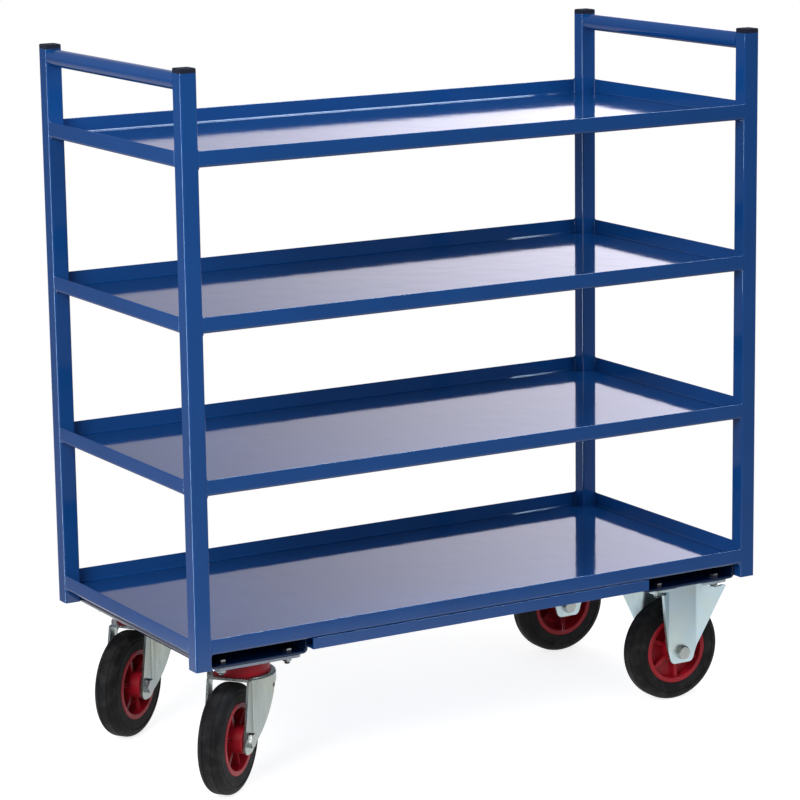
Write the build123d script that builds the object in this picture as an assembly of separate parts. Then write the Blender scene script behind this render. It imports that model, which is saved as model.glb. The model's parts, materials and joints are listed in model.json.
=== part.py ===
from build123d import *
import math
import os

# Millimetres. X runs along the trolley, -Y is its front, Z is up and the floor is Z = 0.
# The origin lies on the floor under the middle of the frame.

# Frame: square posts with plug caps, and a round handle across each end
overall_length = 960
overall_width = 459
post_size = 25
post_wall = 2
post_height = 833
post_lift = 4
tube_inner_radius = 0.5
cap_head_height = 7
cap_plug_depth = 14
cap_plug_clearance = 0.2
cap_edge_chamfer = 1
handle_diameter = 25
handle_wall = 2

# Shelves: folded sheet trays with a rim all round
shelf_names = ("bottom", "lower", "upper", "top")
shelf_pitch = 227.7
tray_sheet = 1.5
tray_rim_height = 23
tray_bend_inner = 1.5

# Base: a channel across each end for the castors, and a rail along each side between them
channel_sheet = 4
channel_height = 25.5
channel_setback = 16.5
channel_bend_inner = 4
swivel_channel_width = 161
fixed_channel_width = 171
rail_depth = 30
rail_height = 16.5
rail_wall = 2

# Castor places, and the bolts that hold their plates under the channels
castor_inset_x = 107
castor_inset_y = 71
plate_length = 140
plate_width = 110
plate_sheet = 4
plate_corner_radius = 9
bolt_spacing_x = 105
bolt_spacing_y = 80
bolt_diameter = 8
bolt_across_flats = 13
bolt_head_height = 5.3
bolt_nut_height = 6.5
bolt_end = 4
bolt_clearance = 0.5
thread_clearance = 0.05

# Wheel: rubber tyre on a ribbed hub that turns on a bush
wheel_diameter = 160
tyre_width = 34
tyre_shoulder_radius = 11
tyre_seat_gap = 0.05
rim_diameter = 105
rim_width = 35
rim_wall = 9
rim_draft = 2
hub_length = 56
hub_boss_diameter = 40
hub_web = 7
hub_rib_count = 6
hub_rib_width = 6
hub_rib_height = 25
bush_diameter = 24
bush_fit = 0.08

# Axle: a bolt through both legs, clamped on a sleeve that the bush turns on
fork_gap = 58
axle_diameter = 12
axle_sleeve_diameter = 16
axle_across_flats = 19
axle_head_height = 7.5
axle_nut_height = 8
axle_end = 3
axle_clearance = 0.1

# Swivel fork: a pressed crown whose skirt narrows into two legs that trail behind the pivot
fork_sheet = 3.5
crown_clearance = 3.5
crown_radius = 49.5
axle_beyond_crown = 4.5
crown_front = 50
crown_edge_inner = 0.5
crown_rim_depth = 15
leg_bend_radius = 6
leg_rear = 6
leg_corner_radius = 12
foot_drop = 20.5
foot_front = 18.8
foot_rear = 12.6
fork_hole_diameter = 6.5
fork_hole_inset = 6
fork_hole_drop = 19

# Swivel head: one ring of balls between plate and crown, held together by the king bolt
head_height = 20
ball_diameter = 9
ball_count = 10
ball_clearance = 0.15
ball_ring_inset = 19
race_width = 14
race_gap = 2.4
king_diameter = 12
king_fit = 0.08
king_across_flats = 19
king_head_height = 7
king_recess_depth = 8
king_recess_clearance = 3
king_floor = 5
king_collar_wall = 6
king_collar_gap = 0.5
king_washer_diameter = 32
king_washer_sheet = 3.5
king_nut_height = 7
king_end = 2
dust_ring_inset = 8.5
dust_ring_wall = 2.5
dust_ring_draft = 0.5
dust_ring_gap = 0.6

# Fixed bracket: legs bent down from the plate, with stiffening wings folded outwards
panel_half_width = 26
wing_angle = 46
wing_reach = 58
wing_gap = 1.5
scallop_place = 45
scallop_radius = 13
scallop_depth = 5.5
bracket_bend_radius = 5
bend_relief = 2
bracket_foot_half_width = 19
bracket_foot_drop = 17
bracket_foot_radius = 9

# Rest headings of the swivel castors, and of every wheel about its axle, in degrees
swivel_headings = {"front": 39.8, "back": 35.4}
wheel_turns = {"swivel": 12, "fixed": 26}

# Heights and places that follow from the sizes above
wheel_radius = wheel_diameter / 2
crown_underside = wheel_diameter + crown_clearance
crown_top = crown_underside + fork_sheet
plate_underside = crown_top + head_height
mount_height = plate_underside + plate_sheet
shelf_base = mount_height + channel_height
post_bottom = mount_height + post_lift
post_top = post_bottom + post_height
fork_half_gap = fork_gap / 2
trail = crown_radius + axle_beyond_crown
ball_ring_radius = crown_radius - ball_ring_inset
ball_height = crown_top + head_height / 2
king_floor_top = mount_height - king_recess_depth
king_floor_bottom = king_floor_top - king_floor
half_bend = math.tan(math.radians(wing_angle / 2))
neck_half_width = panel_half_width - bracket_bend_radius * half_bend
castor_x = overall_length / 2 - castor_inset_x
castor_y = overall_width / 2 - castor_inset_y
castor_places = {
    ("swivel", "front"): (-castor_x, -castor_y),
    ("swivel", "back"): (-castor_x, castor_y),
    ("fixed", "front"): (castor_x, -castor_y),
    ("fixed", "back"): (castor_x, castor_y),
}
on_base = (Align.CENTER, Align.CENTER, Align.MIN)


def ring(inner_radius, outer_radius, bottom, top):
    """A plain ring about the Z axis."""
    body = Cylinder(outer_radius, top - bottom, align=on_base)
    bore = Cylinder(inner_radius, top - bottom, align=on_base)
    return Pos(0, 0, bottom) * (body - bore)


def across(shape):
    """Turn a shape built along Z so that it points along +Y."""
    return Rot(-90, 0, 0) * shape


def hexagon(across_flats, bottom, height):
    """A hexagonal prism on the Z axis."""
    outline = RegularPolygon(across_flats / 2, 6, major_radius=False)
    return Pos(0, 0, bottom) * extrude(outline, height)


def hex_bolt(diameter, across_flats, head_height, length):
    """A bolt whose head ends at Z = 0 and whose shank runs up from there."""
    shank = Cylinder(diameter / 2, length, align=on_base)
    return hexagon(across_flats, -head_height, head_height) + shank


def hex_nut(diameter, across_flats, height):
    """A nut that stands on Z = 0."""
    bore = Cylinder(diameter / 2 + thread_clearance, height, align=on_base)
    return hexagon(across_flats, 0, height) - bore


def tube_section(width, depth, wall):
    """A rectangular tube's section with rounded corners."""
    outside = RectangleRounded(width, depth, wall + tube_inner_radius)
    return outside - RectangleRounded(width - 2 * wall, depth - 2 * wall, tube_inner_radius)


def corner_places():
    """The middle of each post, as seen from above."""
    return GridLocations(overall_length - post_size, overall_width - post_size, 2, 2)


def post():
    return Pos(0, 0, post_bottom) * extrude(tube_section(post_size, post_size, post_wall), post_height)


def post_cap():
    """A plug for the top of a post: a flat head over a stub that fills the tube."""
    outline = RectangleRounded(post_size, post_size, post_wall + tube_inner_radius)
    head = extrude(outline, cap_head_height)
    head = chamfer(head.faces().sort_by(Axis.Z)[-1].edges(), cap_edge_chamfer)
    stub_size = post_size - 2 * post_wall - 2 * cap_plug_clearance
    stub = Box(stub_size, stub_size, cap_plug_depth, align=(Align.CENTER, Align.CENTER, Align.MAX))
    return Pos(0, 0, post_top) * (head + stub)


def handle(end):
    """A round tube between the posts of one end, level with their tops."""
    section = Circle(handle_diameter / 2) - Circle(handle_diameter / 2 - handle_wall)
    length = overall_width - 2 * post_size
    tube = across(extrude(section, length / 2, both=True))
    return Pos(end * (overall_length - post_size) / 2, 0, post_top - handle_diameter / 2) * tube


def rounded_tub(length, width, height, bend):
    """A block whose bottom edges are rounded, as a sheet folds."""
    block = Box(length, width, height, align=on_base)
    return fillet(block.faces().sort_by(Axis.Z)[0].edges(), bend)


def shelf_tray(level):
    """A tray folded from sheet, notched at its corners for the posts."""
    outside = rounded_tub(overall_length, overall_width, tray_rim_height, tray_bend_inner + tray_sheet)
    length = overall_length - 2 * tray_sheet
    width = overall_width - 2 * tray_sheet
    inside = rounded_tub(length, width, tray_rim_height, tray_bend_inner)
    tray = outside - Pos(0, 0, tray_sheet) * inside
    notches = corner_places() * extrude(Rectangle(post_size, post_size), tray_rim_height)
    return Pos(0, 0, shelf_base + level * shelf_pitch) * (tray - notches)


def channel_middle(kind):
    """The X of a channel's middle; each channel stands against the posts of its end."""
    if kind == "swivel":
        return -overall_length / 2 + post_size + swivel_channel_width / 2
    return overall_length / 2 - post_size - fixed_channel_width / 2


def trough_section(width, height, corner_radius):
    """A rectangle standing on the X axis with its two lower corners rounded."""
    block = Pos(0, height / 2) * Rectangle(width, height)
    return fillet(block.vertices().group_by(Axis.Y)[0], corner_radius)


def castor_channel(kind, width):
    """A folded channel, open upwards, with holes for the castor bolts of one end."""
    outside = trough_section(width, channel_height, channel_bend_inner + channel_sheet)
    inside = trough_section(width - 2 * channel_sheet, channel_height, channel_bend_inner)
    section = Plane.XZ * (outside - Pos(0, channel_sheet) * inside)
    half_length = overall_width / 2 - channel_setback
    channel = Pos(channel_middle(kind), 0, mount_height) * extrude(section, half_length, both=True)
    for side in ("front", "back"):
        x, y = castor_places[kind, side]
        channel -= Pos(x, y, mount_height) * bolt_holes(channel_sheet)
    return channel


def base_rail(side):
    """A rectangular tube under the edge of the bottom tray, from channel to channel."""
    start = channel_middle("swivel") + swivel_channel_width / 2
    end = channel_middle("fixed") - fixed_channel_width / 2
    section = Plane.YZ * tube_section(rail_depth, rail_height, rail_wall)
    y = side * (overall_width - rail_depth) / 2
    return Pos(start, y, shelf_base - rail_height / 2) * extrude(section, end - start)


def bolt_grid():
    """The bolts of one castor plate."""
    return GridLocations(bolt_spacing_x, bolt_spacing_y, 2, 2)


def bolt_holes(depth):
    """Cutters for the bolt holes of a castor plate, from Z = 0 upwards."""
    hole = Cylinder(bolt_diameter / 2 + bolt_clearance, depth, align=on_base)
    return Part() + bolt_grid() * hole


def plate_bolt():
    """A bolt with its head in the channel and its end below the castor plate and the nut."""
    grip = plate_sheet + channel_sheet
    bolt = hex_bolt(bolt_diameter, bolt_across_flats, bolt_head_height, grip + bolt_nut_height + bolt_end)
    return Pos(0, 0, mount_height + channel_sheet) * Rot(180, 0, 0) * bolt


def plate_nut():
    nut = hex_nut(bolt_diameter, bolt_across_flats, bolt_nut_height)
    return Pos(0, 0, plate_underside - bolt_nut_height) * nut


def at_every_bolt(piece):
    """Separate copies of a fastener at every bolt of every castor."""
    copies = []
    for place in castor_places.values():
        copies += [Pos(*place) * spot * piece for spot in bolt_grid()]
    return Compound(children=copies)


def tyre():
    """A solid tyre with rounded shoulders, turned about the Y axis."""
    inner = rim_diameter / 2 + tyre_seat_gap
    section = Pos((inner + wheel_radius) / 2, 0) * Rectangle(wheel_radius - inner, tyre_width)
    section = fillet(section.vertices().group_by(Axis.X)[-1], tyre_shoulder_radius)
    return revolve(section, Axis.Y)


def hub():
    """A moulded hub: long boss, middle web, rim with draft, and radial ribs on both faces."""
    bore = bush_diameter / 2 + bush_fit
    boss = hub_boss_diameter / 2
    rim = rim_diameter / 2
    rim_inner = rim - rim_wall
    web = Pos((bore + rim) / 2, 0) * Rectangle(rim - bore, hub_web)
    barrel = Pos((bore + boss) / 2, 0) * Rectangle(boss - bore, hub_length)
    rim_edge = rim_inner + rim_draft
    half_web = hub_web / 2
    half_rim = rim_width / 2
    felloe = Polygon(
        (rim, -half_rim),
        (rim, half_rim),
        (rim_edge, half_rim),
        (rim_inner, half_web),
        (rim_inner, -half_web),
        (rim_edge, -half_rim),
        align=None,
    )
    body = revolve(web + barrel + felloe, Axis.Y)
    rib_start = (bore + boss) / 2
    rib_length = (rim_inner + rim) / 2 - rib_start
    rib = Pos(rib_start + rib_length / 2, 0, 0) * Box(rib_length, hub_rib_height, hub_rib_width)
    for index in range(hub_rib_count):
        body += Rot(0, index * 360 / hub_rib_count, 0) * rib
    return body


def hub_bush():
    """The plain bearing in the hub's bore."""
    inner = axle_sleeve_diameter / 2 + bush_fit
    return across(ring(inner, bush_diameter / 2, -hub_length / 2, hub_length / 2))


def axle_sleeve():
    """The spacer that both legs are clamped against."""
    inner = axle_diameter / 2 + axle_clearance
    return across(ring(inner, axle_sleeve_diameter / 2, -fork_half_gap, fork_half_gap))


def axle_bolt(leg_sheet):
    """The axle, with its head on the leg at -Y."""
    length = fork_gap + 2 * leg_sheet + axle_nut_height + axle_end
    bolt = hex_bolt(axle_diameter, axle_across_flats, axle_head_height, length)
    return across(Pos(0, 0, -fork_half_gap - leg_sheet) * bolt)


def axle_nut(leg_sheet):
    """The nut on the leg at +Y."""
    nut = hex_nut(axle_diameter, axle_across_flats, axle_nut_height)
    return across(Pos(0, 0, fork_half_gap + leg_sheet) * nut)


def axle_hole(x):
    """A cutter for the axle through both legs."""
    return Pos(x, 0, wheel_radius) * across(Cylinder(axle_diameter / 2 + axle_clearance, 2 * fork_gap))


def mounting_plate():
    """The flat castor plate with its bolt holes."""
    outline = RectangleRounded(plate_length, plate_width, plate_corner_radius)
    plate = extrude(outline, plate_sheet) - bolt_holes(plate_sheet)
    return Pos(0, 0, plate_underside) * plate


def ball_groove():
    """A cutter for both ball tracks: a square turned on its corner, swept round the ring."""
    reach = math.sqrt(2) * (ball_diameter / 2 + ball_clearance)
    track = Pos(ball_ring_radius, ball_height) * Polygon((reach, 0), (0, reach), (-reach, 0), (0, -reach))
    return revolve(Plane.XZ * track, Axis.Z)


def race_ring(bottom, top):
    """The ring of metal that one ball track is cut into."""
    return ring(ball_ring_radius - race_width / 2, ball_ring_radius + race_width / 2, bottom, top)


def swivel_plate():
    """The castor plate with its ball track and the sunken seat of the king bolt."""
    boss_radius = ball_ring_radius - race_width / 2
    recess_radius = king_across_flats / 2 + king_recess_clearance
    body = mounting_plate()
    body += race_ring(ball_height + race_gap / 2, plate_underside)
    boss = Cylinder(boss_radius, mount_height - king_floor_bottom, align=on_base)
    body += Pos(0, 0, king_floor_bottom) * boss
    body -= ball_groove()
    body -= Pos(0, 0, king_floor_top) * Cylinder(recess_radius, king_recess_depth, align=on_base)
    return body - king_hole()


def king_hole():
    """A cutter for the king bolt, from the floor to the plate."""
    return Cylinder(king_diameter / 2 + king_fit, mount_height, align=on_base)


def king_bolt():
    """The swivel's pin: head down in the plate's seat, shank through the crown."""
    length = king_floor_top - crown_underside + king_washer_sheet + king_nut_height + king_end
    bolt = hex_bolt(king_diameter, king_across_flats, king_head_height, length)
    return Pos(0, 0, king_floor_top) * Rot(180, 0, 0) * bolt


def king_washer():
    """The thrust washer that the crown turns on from below."""
    inner = king_diameter / 2 + king_fit
    return ring(inner, king_washer_diameter / 2, crown_underside - king_washer_sheet, crown_underside)


def king_nut():
    nut = hex_nut(king_diameter, king_across_flats, king_nut_height)
    return Pos(0, 0, crown_underside - king_washer_sheet - king_nut_height) * nut


def swivel_balls():
    """The ball ring, as separate balls."""
    ball = Pos(ball_ring_radius, 0, ball_height) * Sphere(ball_diameter / 2)
    step = 360 / ball_count
    return Compound(children=[Rot(0, 0, index * step) * ball for index in range(ball_count)])


def dust_ring():
    """A moulded ring on the crown that covers the balls up to just below the plate."""
    foot = crown_radius - dust_ring_inset
    lip = foot - dust_ring_draft
    top = plate_underside - dust_ring_gap
    wall = dust_ring_wall
    section = Polygon((foot - wall, crown_top), (foot, crown_top), (lip, top), (lip - wall, top), align=None)
    return revolve(Plane.XZ * section, Axis.Z)


def fork_plan(radius, half_width, bend_radius):
    """The fork from above: a round head that runs out into two parallel sides."""
    reach = trail + foot_front
    outline = Circle(radius) + Pos(-reach, 0) * Rectangle(2 * reach, 2 * half_width)
    bends = [corner for corner in outline.vertices() if -radius < corner.X < 0]
    return fillet(bends, bend_radius)


def fork_side():
    """The fork from the side: legs that slant from the crown to the axle, and a short rear rim."""
    foot = wheel_radius - foot_drop
    rim = crown_top - crown_rim_depth
    rear = 2 * crown_radius
    outline = Polygon(
        (-crown_front, crown_top),
        (-trail - foot_front, foot),
        (-trail + foot_rear, foot),
        (leg_rear, rim),
        (rear, rim),
        (rear, crown_top),
        align=None,
    )
    rounded = [corner for corner in outline.vertices() if corner.Y < crown_top and corner.X < rear]
    return fillet(rounded, leg_corner_radius)


def fork():
    """The pressed fork: the plan's shell, cut to the side outline, with ball track and collar."""
    crown_edge_outer = crown_edge_inner + fork_sheet
    outside = extrude(fork_plan(crown_radius, fork_half_gap + fork_sheet, leg_bend_radius), crown_top)
    outside = fillet(outside.faces().sort_by(Axis.Z)[-1].edges(), crown_edge_outer)
    hollow = fork_plan(crown_radius - fork_sheet, fork_half_gap, leg_bend_radius + fork_sheet)
    inside = extrude(hollow, crown_underside)
    inside = fillet(inside.faces().sort_by(Axis.Z)[-1].edges(), crown_edge_inner)
    body = (outside - inside) & extrude(Plane.XZ * fork_side(), 2 * crown_radius, both=True)
    body += race_ring(crown_top, ball_height - race_gap / 2) - ball_groove()
    collar = king_diameter / 2 + king_collar_wall
    body += ring(king_diameter / 2, collar, crown_top, king_floor_bottom - king_collar_gap)
    hole = across(Cylinder(fork_hole_diameter / 2, 4 * crown_radius))
    body -= Pos(leg_rear - fork_hole_inset, 0, crown_top - fork_hole_drop) * hole
    return body - king_hole() - axle_hole(-trail)


def leg_field(face_y, half_width, bend_radius):
    """The area outside one face of a bracket leg, seen from above."""
    far = 2 * wing_reach
    slope = math.tan(math.radians(wing_angle))
    wing_y = face_y + (far - half_width) * slope
    field = Polygon(
        (-far, wing_y),
        (-half_width, face_y),
        (half_width, face_y),
        (far, wing_y),
        align=None,
    )
    bends = field.vertices().group_by(Axis.Y)[0]
    return fillet(bends, bend_radius)


def bracket_front():
    """The outline of a bracket leg: foot, slanted wings scalloped below the bolts, and a neck."""
    wing_top = plate_underside - wing_gap
    half = [
        (bracket_foot_half_width, wheel_radius - bracket_foot_drop),
        (wing_reach, wing_top),
        (neck_half_width, wing_top),
        (neck_half_width, mount_height),
    ]
    outline = Polygon(*half, *[(-x, z) for x, z in reversed(half)], align=None)
    outline = fillet(outline.vertices().group_by(Axis.Y)[0], bracket_foot_radius)
    scallop_height = plate_underside - scallop_depth + scallop_radius
    for side in (-1, 1):
        outline -= Pos(side * scallop_place, scallop_height) * Circle(scallop_radius)
    return outline


def bracket_leg():
    """The leg at +Y: a flat panel with a wing folded outwards along each side."""
    inner_half_width = panel_half_width + plate_sheet * half_bend
    inner = leg_field(fork_half_gap, inner_half_width, bracket_bend_radius + plate_sheet)
    outer = leg_field(fork_half_gap + plate_sheet, panel_half_width, bracket_bend_radius)
    leg = extrude(inner - outer, mount_height)
    return leg & extrude(Plane.XZ * bracket_front(), -4 * wing_reach)


def fixed_bracket():
    """The castor plate with a leg bent down on each side and an ear at each corner."""
    depth = plate_width / 2 - fork_half_gap + bracket_bend_radius
    slot = Rectangle(2 * neck_half_width + 2 * bend_relief, 2 * depth)
    neck = Rectangle(2 * neck_half_width, fork_gap + 2 * plate_sheet)
    body = mounting_plate()
    for side in (-1, 1):
        body -= Pos(0, side * plate_width / 2, plate_underside) * extrude(slot, plate_sheet)
    body += Pos(0, 0, plate_underside) * extrude(neck, plate_sheet)
    leg = bracket_leg()
    body += leg + mirror(leg, Plane.XZ)
    top_edges = body.edges().filter_by(Axis.X).group_by(Axis.Z)[-1]
    crests = [edge for edge in top_edges if abs(edge.center().Y) > fork_half_gap]
    crests = [crest for crest in crests if abs(crest.center().X) < neck_half_width]
    return fillet(crests, bracket_bend_radius) - axle_hole(0)


def castor(kind, side):
    """Every piece of one castor, placed under its channel."""
    swivel = kind == "swivel"
    stand = Pos(*castor_places[kind, side])
    leg_sheet = plate_sheet
    axle = Pos(0, 0, wheel_radius)
    pieces = {}
    if swivel:
        leg_sheet = fork_sheet
        turn = Rot(0, 0, swivel_headings[side])
        axle = turn * Pos(-trail, 0, wheel_radius)
        pieces["plate"] = swivel_plate()
        pieces["king_bolt"] = king_bolt()
        pieces["king_washer"] = king_washer()
        pieces["king_nut"] = king_nut()
        pieces["balls"] = swivel_balls()
        pieces["fork"] = turn * fork()
        pieces["dust_ring"] = dust_ring()
    else:
        pieces["bracket"] = fixed_bracket()
    wheel = axle * Rot(0, wheel_turns[kind], 0)
    pieces["axle_bolt"] = axle * axle_bolt(leg_sheet)
    pieces["axle_nut"] = axle * axle_nut(leg_sheet)
    pieces["axle_sleeve"] = axle * axle_sleeve()
    pieces["hub_bush"] = wheel * hub_bush()
    pieces["hub"] = wheel * hub()
    pieces["tyre"] = wheel * tyre()
    return {f"{side}_{kind}_{name}": stand * piece for name, piece in pieces.items()}


def trolley():
    """All the nodes by name."""
    nodes = {}
    corners = ("front_left", "back_left", "front_right", "back_right")
    for name, corner in zip(corners, corner_places()):
        nodes[f"post_{name}"] = corner * post()
    nodes["post_caps"] = Compound(children=[corner * post_cap() for corner in corner_places()])
    nodes["handle_left"] = handle(-1)
    nodes["handle_right"] = handle(1)
    for level, name in enumerate(shelf_names):
        nodes[f"shelf_{name}"] = shelf_tray(level)
    nodes["base_rail_front"] = base_rail(-1)
    nodes["base_rail_back"] = base_rail(1)
    nodes["castor_channel_left"] = castor_channel("swivel", swivel_channel_width)
    nodes["castor_channel_right"] = castor_channel("fixed", fixed_channel_width)
    nodes["plate_bolts"] = at_every_bolt(plate_bolt())
    nodes["plate_nuts"] = at_every_bolt(plate_nut())
    for kind, side in castor_places:
        nodes |= castor(kind, side)
    return nodes


os.makedirs("parts", exist_ok=True)
for node_name, shape in trolley().items():
    export_step(shape, f"parts/{node_name}.step")
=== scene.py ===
import json
import math

import bmesh
import bpy
from bpy.props import FloatProperty, FloatVectorProperty, IntProperty, PointerProperty
from bpy.types import Operator, Panel, PropertyGroup
from mathutils import Matrix, Vector


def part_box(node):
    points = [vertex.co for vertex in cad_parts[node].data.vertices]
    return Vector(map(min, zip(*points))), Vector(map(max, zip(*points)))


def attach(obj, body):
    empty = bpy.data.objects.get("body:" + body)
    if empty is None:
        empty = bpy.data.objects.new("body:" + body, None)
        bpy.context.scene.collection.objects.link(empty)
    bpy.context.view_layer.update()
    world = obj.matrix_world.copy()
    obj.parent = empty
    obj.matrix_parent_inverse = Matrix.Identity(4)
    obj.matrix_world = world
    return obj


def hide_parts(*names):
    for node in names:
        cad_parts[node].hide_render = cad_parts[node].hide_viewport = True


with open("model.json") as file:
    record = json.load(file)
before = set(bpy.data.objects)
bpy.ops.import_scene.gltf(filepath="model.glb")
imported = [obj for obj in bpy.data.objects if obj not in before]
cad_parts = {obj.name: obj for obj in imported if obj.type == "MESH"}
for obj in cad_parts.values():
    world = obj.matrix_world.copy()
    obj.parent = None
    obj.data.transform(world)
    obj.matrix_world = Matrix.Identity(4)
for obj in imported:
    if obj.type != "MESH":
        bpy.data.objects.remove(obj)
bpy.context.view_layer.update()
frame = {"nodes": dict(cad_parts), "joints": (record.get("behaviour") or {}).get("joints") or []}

bl_info = {
    "name": "Shelf trolley",
    "version": (1, 0, 0),
    "blender": (4, 5, 0),
    "location": "View3D > Sidebar > Trolley",
    "description": "Builds the looks of a blue shelf trolley on castors around its packed frame",
    "category": "Add Mesh",
}

joint_table = {joint["name"]: joint for joint in frame["joints"]}
corners = ("front_left", "back_left", "front_right", "back_right")
levels = ("bottom", "lower", "upper", "top")
sides = ("front", "back")
castors = [(side, kind) for kind in ("swivel", "fixed") for side in sides]
mm = 0.001
slack = 1e-5
touching = 1e-6
sharp_angle = math.radians(38)


# Properties

def length(name, description, millimetres):
    """A size that the sidebar shows in the scene's length unit."""
    return FloatProperty(name=name, description=description, default=millimetres / 1000, min=0.0, precision=5,
                         unit="LENGTH", subtype="DISTANCE")


def colour(name, description, default):
    """A linear colour with a swatch in the sidebar."""
    return FloatVectorProperty(name=name, description=description, default=default, size=3, min=0.0, max=1.0,
                               subtype="COLOR")


def angle(name, description, degrees):
    return FloatProperty(name=name, description=description, default=math.radians(degrees), unit="ROTATION",
                         subtype="ANGLE")


def amount(name, description, default):
    return FloatProperty(name=name, description=description, default=default, min=0.0)


class FrameSizes(PropertyGroup):
    tube_wall: length("Tube wall", "Wall of the posts, handles and rails", 2)
    tube_corner: length("Tube corner", "Outside corner radius of the posts", 2.5)
    rail_corner: length("Rail corner", "Outside corner radius of the base rails", 0.4)
    cap_chamfer: length("Cap chamfer", "Bevelled edge round the top of a post cap", 1)
    cap_dome: length("Cap dome", "Rise of a cap's top above its bevelled edge", 0.4)
    cap_head: length("Cap head", "Height of a cap above its post", 7)
    cap_plug: length("Cap plug", "Width of the plug inside the tube", 20.6)
    tray_sheet: length("Tray sheet", "Thickness of the folded trays", 1.5)
    tray_bend: length("Tray bend", "Outside radius of the trays' folds", 4)
    channel_sheet: length("Channel sheet", "Thickness of the castor channels", 4)
    channel_bend: length("Channel bend", "Outside radius of the channels' folds", 8)
    sheet_edge: length("Sheet edge", "Rounding of cut sheet edges under the paint", 0.7)
    weld_radius: length("Weld radius", "Half the width of a weld bead", 1.7)
    weld_step: length("Weld step", "Spacing of the ripples along a weld bead", 1.7)


class CastorSizes(PropertyGroup):
    bolt_spacing_x: length("Bolt spacing along", "Distance between plate bolts along the trolley", 105)
    bolt_spacing_y: length("Bolt spacing across", "Distance between plate bolts across the trolley", 80)
    bolt_diameter: length("Bolt diameter", "Thread of the plate bolts", 8)
    bolt_flats: length("Bolt flats", "Width across the flats of the plate bolts and nuts", 13)
    bolt_head: length("Bolt head", "Height of a plate bolt's head", 5.3)
    bolt_nut: length("Bolt nut", "Height of a plate bolt's nut", 6.5)
    bolt_pitch: length("Bolt pitch", "Thread pitch of the plate bolts", 1.25)
    bolt_end: length("Bolt end", "Thread that stands out of a plate nut", 4)
    plate_sheet: length("Plate sheet", "Thickness of plates and brackets", 4)
    fork_sheet: length("Fork sheet", "Thickness of the pressed forks", 3.5)
    fork_gap: length("Fork gap", "Clear width between the legs of a castor", 58)
    axle_diameter: length("Axle diameter", "Thread of the axle bolts", 12)
    axle_flats: length("Axle flats", "Width across the flats of the axle heads and nuts", 19)
    axle_head: length("Axle head", "Height of an axle bolt's head", 7.5)
    axle_nut: length("Axle nut", "Height of an axle nut", 8)
    axle_pitch: length("Axle pitch", "Thread pitch of the axle bolts", 1.75)
    axle_end: length("Axle end", "Thread that stands out of an axle nut", 3)
    pressed_edge: length("Pressed edge", "Rounding of the castors' cut edges", 0.5)


class WheelSizes(PropertyGroup):
    tyre_radius: length("Tyre radius", "Half the wheel's diameter", 80)
    tyre_width: length("Tyre width", "Width of the tyre over its walls", 34)
    tyre_shoulder: length("Tyre shoulder", "Radius of the tyre's round shoulders", 11)
    rim_radius: length("Rim radius", "Outside radius of the hub's rim", 52.5)
    rim_width: length("Rim width", "Width of the hub's rim", 35)
    rim_wall: length("Rim wall", "Thickness of the hub's rim at its foot", 9)
    rim_draft: length("Rim draft", "Opening of the rim towards its edge", 2)
    boss_radius: length("Boss radius", "Radius of the hub's long boss", 20)
    bore_radius: length("Bore radius", "Radius of the hub's bore", 12.08)
    boss_length: length("Boss length", "Length of the hub's boss", 56)
    web: length("Web", "Thickness of the hub's web", 7)
    rib_count: IntProperty(name="Ribs", description="Ribs on each face of a hub", default=6, min=3)
    rib_width: length("Rib width", "Thickness of a rib", 6)
    rib_height: length("Rib height", "Height of the ribs over both faces", 25)
    moulded_edge: length("Moulded edge", "Bevel of the hub's edges", 0.8)
    swivel_turn: angle("Swivel wheel turn", "Turn of the swivel castors' hubs about their axles", 12)
    fixed_turn: angle("Fixed wheel turn", "Turn of the fixed castors' hubs about their axles", 26)


class Finishes(PropertyGroup):
    blue_paint: colour("Blue paint", "Gloss powder coat of the frame", (0.0065, 0.062, 0.240))
    cap_plastic: colour("Cap plastic", "Black plastic of the post caps", (0.010, 0.013, 0.028))
    # Painted shade: the frame's blue darkened to about a third to stand in for the shadow in the castor
    # channels
    channel_paint: colour("Channel paint", "Thin dark coat in the deep castor channels", (0.0022, 0.018, 0.068))
    castor_zinc: colour("Castor zinc", "Plating of the brackets", (0.53, 0.64, 0.69))
    # Partly painted shade: a greyer zinc of the forks, darkened further to stand in for the shadow under the
    # trolley
    fork_zinc: colour("Fork zinc", "Plating of the pressed forks", (0.34, 0.37, 0.36))
    # Painted shade: the castor zinc darkened to stand in for the shadow on the swivel plates under the channels
    plate_zinc: colour("Plate zinc", "Dull plating of the swivel plates", (0.24, 0.27, 0.33))
    bolt_zinc: colour("Bolt zinc", "Plating of bolts, nuts and sleeves", (0.32, 0.34, 0.35))
    ball_steel: colour("Ball steel", "Polished steel of the swivel balls", (0.74, 0.74, 0.75))
    ring_plastic: colour("Ring plastic", "Red plastic of the dust rings", (0.33, 0.006, 0.015))
    hub_plastic: colour("Hub plastic", "Red plastic of the hubs", (0.31, 0.005, 0.014))
    bush_plastic: colour("Bush plastic", "Pale plastic of the bushes", (0.62, 0.61, 0.56))
    tyre_rubber: colour("Tyre rubber", "Black rubber of the tyres", (0.0046, 0.0044, 0.0050))


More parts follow.
